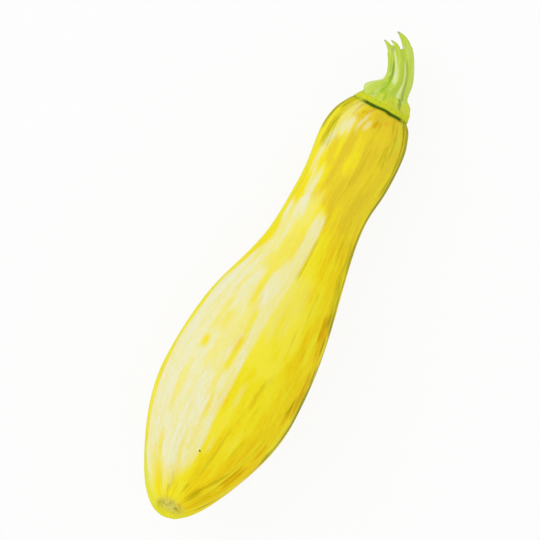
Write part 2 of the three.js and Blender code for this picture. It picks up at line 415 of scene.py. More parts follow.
# Olive strokes. Down the right flank and round the tip on the right they are painted shade, the dark edge on
# the side away from the light; the others are green streaks and flecks.
OLIVE_SHADE_AND_STREAKS = [
    (20, -78, 40, -78, 1.8, 0.65),
    (30, -77, 64, -78, 2.6, 0.92),
    (58, -79, 96, -79, 2.4, 0.82),
    (4, -84, 28, -82, 2.0, 0.6),
    (50, -81, 72, -82, 2.0, 0.8),
    (70, -84, 96, -86, 1.6, 0.6),
    (88, -74, 102, -72, 2.4, 0.8),
    (98, -70, 114, -70, 2.6, 0.75),
    (112, -73, 124, -74, 2.4, 0.6),
    (120, -78, 187, -77, 2.8, 0.85),
    (142, -76, 156, -76, 1.8, 0.95),
    (118, -88, 150, -90, 2.0, 0.5),
    (36, -92, 60, -94, 2.4, 0.45),
    (34, -71, 68, -71, 2.0, 0.5),
    (54, -57, 64, -61, 1.2, 0.6),
    (66, -74, 76, -74, 1.8, 0.7),
    (80, -71, 88, -70, 1.6, 0.45),
    (92, -64, 130, -64, 3.2, 0.55),
    (124, -66, 136, -66, 1.8, 0.45),
    (148, -65, 180, -65, 2.4, 0.55),
    (150, -70, 180, -70, 1.8, 0.6),
    (152, -57, 170, -58, 2.0, 0.42),
    (158, -35, 182, -37, 2.4, 0.5),
    (176, -62, 186, -64, 2.0, 0.6),
    (166, 78, 188, 78, 1.6, 0.6),
    (163, 71, 190, 70, 2.4, 0.74),
    (174, 63, 190, 62, 2.2, 0.65),
    (178, 56, 190, 52, 1.8, 0.5),
    (156, 48, 186, 46, 5.0, 0.49),
    (1, -30, 9, -46, 4.5, 0.42),
    (1, 10, 7, -12, 4.5, 0.38),
    (8, -39, 28, -49, 1.1, 0.4),
]
# Fine lengthwise creases, which are sunk, and darkened with painted shade.
SHADED_CREASES = [
    (1, -34, 12, -39, 1.3, 0.6),
    (10, -39, 24, -47, 1.2, 0.7),
    (22, -46, 40, -53, 1.1, 0.5),
    (9, -17, 38, -18, 1.1, 0.4),
    (34, -19, 63, -23, 1.1, 0.5),
    (22, -27, 50, -28, 1.1, 0.35),
    (28, -31, 37, -32, 1.1, 0.4),
    (60, -27, 85, -28, 1.1, 0.35),
    (88, -33, 105, -33, 1.1, 0.35),
    (60, -44, 80, -44, 1.1, 0.35),
    (103, -4, 124, -5, 1.1, 0.6),
    (112, -18, 130, -26, 1.2, 0.4),
    (116, -40, 137, -39, 1.2, 0.4),
    (128, -8, 178, -10, 1.3, 0.5),
    (150, -28, 172, -30, 1.3, 0.35),
    (2, 12, 9, 16, 1.0, 0.4),
    (2, 44, 10, 42, 1.0, 0.45),
    (4, -52, 18, -56, 1.2, 0.45),
    (3, -70, 22, -68, 1.2, 0.4),
    (2, -12, 10, -14, 1.0, 0.35),
]
# Where the fruit lay on the ground: (along, angle), half length, half width, strength.
GROUND_SPOTS = [(67, 174, 27, 11.0, 0.9), (160, -175, 11, 4.5, 0.65)]
# How gold the right side, the head and the underside are. The right side's gold is painted shade.
RIGHT_SHADE, HEAD_TOP_GOLD, UNDERSIDE_GOLD = 0.5, 0.6, 0.45
# A dark speck: where it is, and the distances from its middle between which it fades.
SPECK_AT, SPECK_TURN, SPECK_EDGE = 24.0, -2.2, (0.62, 0.3)

# The strokes wander a little, their sides waver, and their ends run out in strands of unequal length. An end
# fades over a share of the stroke's own length, up to the longest fade.
WANDER, WAVER, FRAY = 1.2, 0.35, 3.0
FADE_SHARE, LONGEST_FADE = 0.35, 3.5

stroke_wander = WANDER * perlin(skin * (0.06, 0.06, 0.05))
frayed_side = WAVER * perlin(skin * (0.7, 0.7, 0.12) + 43)
frayed_end = FRAY * perlin(skin * (0.6, 0.6, 0.03) + 47)


def painted(strokes):
    """How far the strokes cover each point of the skin, from 0 to 1."""
    cover = np.zeros_like(at)
    for start, start_turn, end, end_turn, half_width, strength in strokes:
        share = np.clip((at - start) / (end - start), 0, 1)
        turn = start_turn + (end_turn - start_turn) * share
        across = np.radians(wrapped(degrees + stroke_wander - turn)) * radius + frayed_side
        fade = min(LONGEST_FADE, FADE_SHARE * (end - start))
        reached = at + frayed_end * min(1, fade / FRAY)
        inside = smoothstep(start - fade, start + fade, reached) * smoothstep(end + fade, end - fade, reached)
        cover = np.maximum(cover, strength * inside * np.exp(-((across / half_width) ** 4)))
    return cover


def ovals(spots):
    """How far oval spots, soft at the edge, cover each point of the skin, from 0 to 1."""
    cover = np.zeros_like(at)
    for middle, middle_turn, half_length, half_width, strength in spots:
        across = np.radians(wrapped(degrees + stroke_wander - middle_turn)) * radius + 4 * frayed_side
        far = ((at + 2 * frayed_end - middle) / half_length) ** 2 + (across / half_width) ** 2
        cover = np.maximum(cover, strength * np.exp(-(far**1.5)))
    return cover


# ---------------------------------------------------------------------------------------------------------
# Fruit: its relief, and the piece

SWELL_HEIGHT, SMALL_SWELL_HEIGHT, SWELL_DROP = 0.2, 0.07, 0.05
RIB_WANDER = 0.12
CREASE_DEPTH = 0.12
TIP_FOLD_DEPTH, TIP_FOLD_MIDDLE, TIP_FOLD_REACH = 0.25, 6, 13
# The cork covers the scar out to the first radius and ends by the second.
CORK_HEIGHT = 0.22
CORK_FULL, CORK_END = 3.2, 5.8
# The cork's colour spreads past the scar, further on the side that faces up.
CORK_MIDDLE, CORK_REACH = (0.8, -0.6, 1.2), (3.6, 5.4, 4.6)
# The crease under the collar is at its deepest round its middle angle, and so is its dark line of painted
# shade; both are faint round the back.
COLLAR_CREASE_HALF_WIDTH, COLLAR_CREASE_DEPTH = 0.45, 0.3
COLLAR_TOP_MIDDLE, COLLAR_TOP_FULL, COLLAR_TOP_END, COLLAR_BACK = -4, 38, 54, 0.3
# On the right the collar is slimmer and the shoulder fuller, and on the left the crease is shallow. Each row
# is a height, then the middle and reach along the fruit, then the middle and reach round it.
COLLAR_CHANGES = [(-0.7, 185, 2.2, -90, 30), (0.5, 180, 2.5, -90, 30), (0.6, CREASE[0], 1.6, 85, 28)]

creases = painted(SHADED_CREASES)
near_tip = bell(at, TIP_FOLD_MIDDLE, TIP_FOLD_REACH) * smoothstep(0.5, 4, at)
tip_folds = near_tip * np.abs(perlin(skin * (0.32, 0.32, 0.03) + 19))
scar_wobble = 0.5 * perlin(skin * (0.12, 0.12, 0) + 3) + 0.25 * perlin(skin * (0.4, 0.4, 0) + 5)
at_tip = (at < UPTURN_LENGTH).astype(float)
scar = at_tip * smoothstep(CORK_END, CORK_FULL, radius + scar_wobble)
from_cork = (smooth_skin - smooth_skin[0].mean(axis=0) - CORK_MIDDLE) / CORK_REACH
cork_colour = smoothstep(1.5, 0.3, np.linalg.norm(from_cork, axis=-1))
cork = CORK_HEIGHT * scar * (perlin(smooth_skin * 0.8) + 0.6 * perlin(smooth_skin * 1.9 + 4))

rib_wander = RIB_WANDER * perlin(skin * (0.03, 0.03, 0.012))
rib_depth = eased(RIB_DEPTH, at)
rib_groove = groove_at(RIBS, angle + rib_wander)
swell = SWELL_HEIGHT * perlin(skin * (0.07, 0.07, 0.028))
swell = swell + SMALL_SWELL_HEIGHT * perlin(skin * (0.22, 0.22, 0.05) + 7) - SWELL_DROP
on_top = smoothstep(COLLAR_TOP_END, COLLAR_TOP_FULL, np.abs(degrees - COLLAR_TOP_MIDDLE))
collar_top = COLLAR_BACK + (1 - COLLAR_BACK) * on_top
collar_crease = COLLAR_CREASE_DEPTH * collar_top * bell(at, CREASE[0], COLLAR_CREASE_HALF_WIDTH)

away_from_poles = smoothstep(0, 3, radius)
folds = CREASE_DEPTH * creases + TIP_FOLD_DEPTH * tip_folds + collar_crease
relief = away_from_poles * (swell * (1 - scar) - rib_depth * rib_groove - folds) + cork
for height, along_middle, along_reach, turn_middle, turn_reach in COLLAR_CHANGES:
    relief = relief + height * bell(at, along_middle, along_reach) * bell(degrees, turn_middle, turn_reach)

surface = smooth_skin + outward * relief[..., None] + shift
surface[..., 2] = np.maximum(surface[..., 2], 0)


def with_poles(values):
    """The grid's values, followed by those of the two poles."""
    flat = values.reshape(RINGS * AROUND, -1)
    ends = [values[ring].reshape(AROUND, -1).mean(axis=0) for ring in (0, -1)]
    joined = np.concatenate([flat, ends])
    return joined[:, 0] if values.ndim == 2 else joined


points = with_poles(surface) * MM
fruit = closed_tube("squash_fruit", surface * MM, points[-2], points[-1])

# The cream patch along the top and left, a painted highlight, with the yellow strokes that run through it.
field = np.array(CREAM_FIELD, float).T
cream_low, cream_high = (np.interp(at, field[0], edge) for edge in field[1:])
turn = degrees + stroke_wander + 1.6 * perlin(skin * (0.5, 0.5, 0.05) + 41)
cream_from, cream_to = (np.interp(turn, *np.array(ends, float).T) for ends in (CREAM_FROM, CREAM_TO))
ragged = at + 3 * perlin(skin * (0.3, 0.3, 0.02) + 31) + 1.5 * perlin(skin * (0.9, 0.9, 0.06) + 37)
cream_highlight = smoothstep(-CREAM_EDGE, CREAM_EDGE, turn - cream_low)
cream_highlight = cream_highlight * smoothstep(-CREAM_EDGE, CREAM_EDGE, cream_high - turn)
cream_highlight = cream_highlight * smoothstep(cream_from - CREAM_FADE_BEFORE, cream_from + CREAM_FADE_AFTER, ragged)
cream_highlight = cream_highlight * smoothstep(cream_to + CREAM_EDGE, cream_to - CREAM_EDGE, ragged)
cream_highlight = np.maximum(cream_highlight * (1 - painted(LEMON)), painted(PALE_HIGHLIGHTS))

# The broad change from lemon on the left, past the top, to gold on the head and the underside. On the right
# the gold is painted shade, on the side away from the light. Each pair of numbers is where an area starts and
# where it is in full.
shaded_right_side = smoothstep(-8, -62, degrees) * smoothstep(-150, -100, degrees)
head_gold = smoothstep(112, 142, at) * smoothstep(60, 20, np.abs(degrees + 20))
underside = smoothstep(96, 140, np.abs(degrees))
broad_gold = np.maximum(RIGHT_SHADE * shaded_right_side, HEAD_TOP_GOLD * head_gold)
broad_gold = np.maximum(broad_gold, UNDERSIDE_GOLD * underside)
gold = np.maximum(broad_gold, painted(GOLD)) - painted(LIGHTER)

# How far each point is from the speck.
speck_distance = (at - SPECK_AT) ** 2 + (np.radians(degrees - SPECK_TURN) * radius) ** 2
speck_row, speck_column = np.unravel_index(np.argmin(speck_distance), at.shape)
from_speck = np.linalg.norm(surface - surface[speck_row, speck_column], axis=-1)

for name, values in (
    ("skin", skin),
    ("along", at),
    ("cream_highlight", cream_highlight),
    ("ground_spot", ovals(GROUND_SPOTS)),
    ("lime", painted(LIME)),
    ("gold", gold),
    ("ochre_shade_and_flecks", painted(OCHRE_SHADE_AND_FLECKS)),
    ("olive_shade_and_streaks", painted(OLIVE_SHADE_AND_STREAKS)),
    # The creases and the tip's folds are darkened with painted shade.
    ("crease_shade", np.maximum(creases, 0.35 * tip_folds)),
    ("rib_groove", rib_groove * smoothstep(0.2, 0.7, rib_depth)),
    ("cork", cork_colour),
    ("place", smooth_skin),
    ("from_speck", from_speck),
    ("from_crease", at - CREASE[0] - 0.45 * perlin(skin * (0.18, 0.18, 0))),
    ("top", collar_top),
):
    store(fruit, name, with_poles(values))

# ---------------------------------------------------------------------------------------------------------
# Stem, in millimetres in a frame of its own: X away from the fruit, Y to the side, Z up

STALK_RINGS = 170
STALK_AROUND = 200
STRIP_RINGS = 70
STRIP_AROUND = 32
VOXEL = 0.18
# Fine ridges, which fade in between two shares of the stalk's length.
FINE_RIDGES, FINE_RIDGE_HEIGHT, FINE_RIDGES_FROM, FINE_RIDGES_FULL = 24, 0.1, 0.05, 0.25
# The foot swells a little to meet the collar, so that no gap shows between them.
FOOT_END, FOOT_RADIUS, FOOT_GROOVE_FILLING = 2.0, 10.9, 0.6
# The torn end is hollowed a little between its strips.
HOLLOW_DEPTH = 1.2

sections = np.array(STEM_SECTIONS, float)


def catmull_rom(points, t):
    """A Catmull-Rom curve through the points, at t from 0 to 1."""
    padded = np.concatenate([[2 * points[0] - points[1]], points, [2 * points[-1] - points[-2]]])
    place = np.clip(t * (len(points) - 1), 0, len(points) - 1 - 1e-9)
    i = place.astype(int)
    u = (place - i)[:, None]
    a, b, c, d = padded[i], padded[i + 1], padded[i + 2], padded[i + 3]
    return 0.5 * (2 * b + (c - a) * u + (2 * a - 5 * b + 4 * c - d) * u**2 + (3 * b - a - 3 * c + d) * u**3)


def stem_groove(angle):
    """How deep the stem's grooves are, from 0 on a rib to 1 in a groove."""
    from_middle = (np.degrees(angle) - UNEVEN_NEAR) / UNEVEN_REACH
    return groove_at(STEM_RIBS, angle - math.radians(UNEVEN_TURN) * np.exp(-(from_middle**2)))


def flat_sections(x, y, heading, radii, angles):
    """Rings round a middle line in the XY plane: radii by ring and angle."""
    across = radii * np.sin(angles)
    return np.stack(
        [
            x[:, None] - np.sin(heading)[:, None] * across,
            y[:, None] + np.cos(heading)[:, None] * across,
            radii * np.cos(angles),
        ],
        axis=-1,
    )


stalk_t = np.linspace(0, 1, STALK_RINGS)
stalk = catmull_rom(sections, stalk_t)
stalk_heading = np.radians(stalk[:, 3])
stem_angle = np.linspace(-math.pi, math.pi, STALK_AROUND, endpoint=False)[None, :]
ridge_share = smoothstep(FINE_RIDGES_FROM, FINE_RIDGES_FULL, stalk_t)[:, None]
ridges = FINE_RIDGE_HEIGHT * np.cos(FINE_RIDGES * stem_angle) * ridge_share
foot = smoothstep(FOOT_END, FOOT_END / 2, stalk[:, 0:1])
grooved = 1 - STEM_GROOVE * (1 - FOOT_GROOVE_FILLING * foot) * stem_groove(stem_angle)
stalk_radii = np.maximum(stalk[:, 2:3] * grooved, FOOT_RADIUS * foot) + ridges
stalk_rings = flat_sections(stalk[:, 0], stalk[:, 1], stalk_heading, stalk_radii, stem_angle)
end_x, end_y, end_radius = stalk[-1, :3]
end_heading = stalk_heading[-1]
end_direction = np.array([math.cos(end_heading), math.sin(end_heading), 0])
hollow = stalk_rings[-1].mean(axis=0) - HOLLOW_DEPTH * end_direction


def torn_strip(turn, length, thick, curl):
    """A torn strip's rings, and at each of them its middle, its radius and how far out it is, from 0 to 1."""
    travelled = np.linspace(0, STRIP_ROOT + length, STRIP_RINGS)
    past = np.maximum(0, travelled - STRIP_ROOT) / length
    heading = end_heading + math.radians(curl) * past
    pace = travelled[1] - travelled[0]
    root = end_radius - thick
    across = root * math.sin(math.radians(turn))
    x0 = end_x - STRIP_ROOT * math.cos(end_heading) - across * math.sin(end_heading)
    y0 = end_y - STRIP_ROOT * math.sin(end_heading) + across * math.cos(end_heading)
    x = x0 + np.concatenate([[0], np.cumsum(pace * np.cos(heading[:-1]))])
    y = y0 + np.concatenate([[0], np.cumsum(pace * np.sin(heading[:-1]))])
    z = root * math.cos(math.radians(turn))
    thickness = thick + (STRIP_TIP_RADIUS - thick) * past**STRIP_TAPER
    round_angle = np.linspace(0, 2 * math.pi, STRIP_AROUND, endpoint=False)[None, :]
    rings = flat_sections(x, y, heading, thickness[:, None], round_angle)
    rings[..., 2] += z
    return rings, np.stack([x, y, np.full_like(x, z)], axis=1), thickness, past


stem_shapes = [(stalk_rings, stalk_rings[0].mean(axis=0), hollow)]
strips = [torn_strip(*strip) for strip in STRIPS]
for rings, _, _, _ in strips:
    stem_shapes.append((rings, rings[0].mean(axis=0), rings[-1].mean(axis=0)))

seat_middle, seat_along, seat_up, seat_side = (v[0] for v in section_frames(np.array([SEAT[0]])))
stem_origin = seat_middle + STEM_GAP * seat_along + shift
stem_axes = np.stack([seat_along, seat_side, seat_up])


def placed(points):
    """Stem points in millimetres as points of the frame in metres."""
    return (stem_origin + points @ stem_axes) * MM


stem = None
for rings, first_end, last_end in stem_shapes:
    shape = closed_tube("squash_stem", placed(rings), placed(first_end), placed(last_end))
    if stem is None:
        stem = shape
        continue
    with bpy.context.temp_override(active_object=stem, selected_editable_objects=[stem, shape]):
        bpy.ops.object.join()

# The stalk and its strips become one skin.
remesh = stem.modifiers.new("one_skin", "REMESH")
remesh.mode = "VOXEL"
remesh.voxel_size = VOXEL * MM
soften = stem.modifiers.new("soften", "SMOOTH")
soften.factor = 0.5
soften.iterations = 4
joined = bpy.data.meshes.new_from_object(stem.evaluated_get(bpy.context.evaluated_depsgraph_get()))
stem.modifiers.clear()
stem.data = joined
stem.data.shade_smooth()

# A vertex is on a strip when it is this near to it, and no further back than this from the stalk's end.
STRIP_NEAR, STRIP_SHOWS_FROM = 0.6, 1.0
# Distances are taken to every third ring of the stalk and every second one of a strip.
STALK_STEP, STRIP_STEP = 3, 2
# The torn face fades in along the stalk's last stretch, and keeps to its middle and off the strips.
TORN_FROM, TORN_TO, TORN_INNER, TORN_OUTER = 1.5, 0.6, 3.2, 4.0
# The radius of the cylinder on which the stem's noises are laid out, and how far its strokes wander.
STEM_NOISE_RADIUS = 6
STEM_WANDER = 3

# Where each vertex lies on the stem: distance from the foot, angle round it, and how far out on a strip.
vertex_count = len(stem.data.vertices)
flat = np.empty(vertex_count * 3)
stem.data.vertices.foreach_get("co", flat)
local = (flat.reshape(-1, 3) / MM - stem_origin) @ stem_axes.T
to_line = local[:, None, :2] - stalk[None, ::STALK_STEP, :2]
nearest = np.argmin((to_line**2).sum(axis=2), axis=1) * STALK_STEP
side_x, side_y = -np.sin(stalk_heading[nearest]), np.cos(stalk_heading[nearest])
offset = local[:, :2] - stalk[nearest, :2]
lateral = offset[:, 0] * side_x + offset[:, 1] * side_y
stem_turn = np.degrees(np.arctan2(lateral, local[:, 2]))
pace_along = np.concatenate([[0], np.cumsum(np.linalg.norm(np.diff(stalk[:, :2], axis=0), axis=1))])
past_line = offset[:, 0] * side_y - offset[:, 1] * side_x
stem_along = pace_along[nearest] + np.where(nearest >= nearest.max(), np.maximum(past_line, 0), 0)
stalk_length = pace_along[-1]

strip_past = np.zeros(vertex_count)
closest = np.full(vertex_count, STRIP_NEAR)
for _, line, thickness, past in strips:
    line, thickness, past = (values[::STRIP_STEP] for values in (line, thickness, past))
    gap = np.linalg.norm(local[:, None, :] - line[None], axis=2) - thickness[None]
    best = gap.argmin(axis=1)
    distance = gap[np.arange(vertex_count), best]
    nearer = distance < closest
    closest = np.where(nearer, distance, closest)
    strip_past = np.where(nearer, past[best], strip_past)
strip_past = np.where(stem_along > stalk_length - STRIP_SHOWS_FROM, strip_past, 0)
from_middle = np.hypot(lateral, local[:, 2])
torn_end = smoothstep(stalk_length - TORN_FROM, stalk_length - TORN_TO, stem_along)
torn_end = torn_end * smoothstep(TORN_OUTER, TORN_INNER, from_middle)
torn_end = torn_end * smoothstep(0.2, 0.05, strip_past)

turn = np.radians(stem_turn)
around_stem = (STEM_NOISE_RADIUS * np.cos(turn), STEM_NOISE_RADIUS * np.sin(turn))
stem_place = np.stack([*around_stem, stem_along], axis=1)
stem_wander = STEM_WANDER * perlin(stem_place * (0.15, 0.15, 0.2))

# Strokes along the stem: their path through (along, angle), half width in degrees, strength. They fade in and
# out over these distances on either side of their ends.
STEM_FADE_IN, STEM_FADE_OUT = 1.2, 2
# The pale strokes are painted highlights along the stem's ridges.
STEM_HIGHLIGHTS = [
    ([(9, 14), (13, 20), (18, 22), (24, 28)], 10, 0.75),
    ([(5, -24), (9, -26), (13, -23), (19, -22)], 4, 0.85),
    ([(17, -16), (20, -17)], 5, 0.6),
    ([(2.5, 32), (6, 36)], 8, 0.5),
    ([(5.5, -56), (8, -55)], 7, 0.4),
    ([(4.5, -6), (6, -2), (8, 8)], 4, 0.5),
    ([(4, 62), (8, 66), (12, 76)], 12, 0.35),
    ([(6, -76), (22, -76)], 10, 0.4),
]
# The dark strokes are painted shade in the stem's grooves.
STEM_GROOVE_SHADE = [
    ([(0.2, -33), (3, -36), (5.5, -41), (9, -40)], 5.2, 1.0),
    ([(6, -42), (10, -38), (13, -34), (20, -31)], 7, 0.62),
    ([(11, 43), (20, 41)], 5, 0.7),
    ([(3, 104), (22, 104)], 9, 0.5),
    ([(3, 178), (22, 178)], 9, 0.5),
    ([(3, -106), (22, -106)], 9, 0.5),
]
STEM_GREEN = [
    ([(1, 2), (4, 3), (6, 8)], 5, 0.95),
    ([(4, 14), (6, 18), (8, 32), (10, 43), (13, 46)], 10, 0.85),
    ([(14, 54), (23, 52)], 7, 0.5),
    ([(10, -2), (20, 2)], 6, 0.4),
    ([(18.5, 0), (20.5, 0)], 5, 0.4),
    ([(13, -40), (18, -38)], 4, 0.5),
    ([(1.5, 58), (3.5, 58)], 7, 0.5),
]


def painted_on_stem(strokes):
    """How far the strokes cover each vertex of the stem, from 0 to 1."""
    cover = np.zeros(vertex_count)
    for path, half_width, strength in strokes:
        alongs, turns = np.array(path, float).T
        across = wrapped(stem_turn + stem_wander - np.interp(stem_along, alongs, turns))
        start, end = alongs[0], alongs[-1]
        inside = smoothstep(start - STEM_FADE_IN, start + STEM_FADE_IN, stem_along)
        inside = inside * smoothstep(end + STEM_FADE_OUT, end - STEM_FADE_OUT, stem_along)
        cover = np.maximum(cover, strength * inside * np.exp(-np.abs(across / half_width) ** 2.5))
    return cover


for name, values in (
    ("stem_place", stem_place),
    ("stem_along", stem_along),
    ("pale", painted_on_stem(STEM_HIGHLIGHTS)),
    ("dark", painted_on_stem(STEM_GROOVE_SHADE)),
    ("green", painted_on_stem(STEM_GREEN)),
    ("groove", stem_groove(turn)),
    ("strip_past", strip_past),
    ("torn_end", torn_end),
):
    store(stem, name, values)

# ---------------------------------------------------------------------------------------------------------
# Materials


class Nodes:
    """Short words for making a material's nodes."""

    def __init__(self, name):
        self.material = bpy.data.materials.new(name)
        self.material.use_nodes = True
        self.tree = self.material.node_tree
        self.shader = self.tree.nodes["Principled BSDF"]

    def link(self, source, target):
        """Joins a socket to another, or puts a plain value on it."""
        if isinstance(source, bpy.types.NodeSocket):
            self.tree.links.new(source, target)
        else:
            target.default_value = source

    def attribute(self, name, output="Fac"):
        node = self.tree.nodes.new("ShaderNodeAttribute")
        node.attribute_name = name
        return node.outputs[output]

    def noise(self, vector, squeeze, detail=2.0, roughness=0.5, offset=0.0):
        """Noise over a vector that is first scaled along each axis."""
        scale = self.tree.nodes.new("ShaderNodeVectorMath")
        scale.operation = "MULTIPLY_ADD"
        self.link(vector, scale.inputs[0])
        scale.inputs[1].default_value = squeeze
        scale.inputs[2].default_value = (offset, offset, offset)
        node = self.tree.nodes.new("ShaderNodeTexNoise")
        node.inputs["Scale"].default_value = 1
        node.inputs["Detail"].default_value = detail
        node.inputs["Roughness"].default_value = roughness
        self.link(scale.outputs[0], node.inputs["Vector"])
        return node.outputs["Fac"]

    def math(self, operation, a, b=0.0):
        node = self.tree.nodes.new("ShaderNodeMath")
        node.operation = operation
        self.link(a, node.inputs[0])
        self.link(b, node.inputs[1])
        return node.outputs[0]

    def plus(self, a, b):
        return self.math("ADD", a, b)

    def times(self, a, b):
        return self.math("MULTIPLY", a, b)

    def ramp(self, value, low, high, to_low=0.0, to_high=1.0):
        """Eases from to_low to to_high as the value goes from low to high."""
        node = self.tree.nodes.new("ShaderNodeMapRange")
        node.interpolation_type = "SMOOTHSTEP"
        sockets = ("Value", "From Min", "From Max", "To Min", "To Max")
        for socket, source in zip(sockets, (value, low, high, to_low, to_high)):
            self.link(source, node.inputs[socket])
        return node.outputs["Result"]

    def spread(self, noise, low, high):
        """A noise, most of which lies from 0.3 to 0.7, spread from low to high."""
        return self.ramp(noise, 0.3, 0.7, low, high)

    def mix(self, share, a, b):
        """Colour a, turning into colour b as the share goes from 0 to 1."""
        node = self.tree.nodes.new("ShaderNodeMix")
        node.data_type = "RGBA"
        for socket, source in zip((node.inputs[0], node.inputs[6], node.inputs[7]), (share, a, b)):
            self.link(source, socket)
        return node.outputs[2]

    def bump(self, height, strength, distance):
        node = self.tree.nodes.new("ShaderNodeBump")
        node.inputs["Strength"].default_value = strength
        node.inputs["Distance"].default_value = distance
        self.link(height, node.inputs["Height"])
        return node.outputs["Normal"]

    def broken(self, mask, by, amount, low, high):
        """A mask with its edges broken up by noise, and nothing beyond them."""
        mask = self.attribute(mask)
        share = self.ramp(self.plus(mask, self.spread(by, -amount, amount)), low, high)
        return self.times(share, self.ramp(mask, 0.0, 0.2))

    def complete(self, colour, roughness, specular, normal):
        """The material, once its shader has been given these inputs."""
        self.link(colour, self.shader.inputs["Base Color"])
        self.link(roughness, self.shader.inputs["Roughness"])
        self.link(specular, self.shader.inputs["Specular IOR Level"])
        self.link(normal, self.shader.inputs["Normal"])
        return self.material


# Colours of the skin
LIGHT_YELLOW = srgb(249, 236, 62)
YELLOW = srgb(246, 231, 38)
DEEP_YELLOW = srgb(245, 218, 28)
GOLD_COLOUR = srgb(239, 203, 20)
HEAD_YELLOW = srgb(239, 215, 48)
HEAD_GOLD = srgb(229, 203, 47)
OCHRE_COLOUR = srgb(224, 176, 0)
CREAM = srgb(240, 239, 208)
WARM_CREAM = srgb(242, 238, 188)
LIME_COLOUR = srgb(228, 233, 56)
OLIVE_COLOUR = srgb(146, 149, 12)
SHADE_AND_GRAIN_COLOUR = srgb(190, 164, 14)
CORK_COLOUR = srgb(218, 209, 116)
CORK_DARK = srgb(178, 160, 56)
CREASE_SHADE_GREEN = srgb(70, 104, 16)
COLLAR_COLOUR = srgb(216, 220, 44)
COLLAR_GREEN = srgb(186, 208, 48)
FLECK = srgb(238, 168, 34)
SPECK_COLOUR = srgb(92, 70, 20)


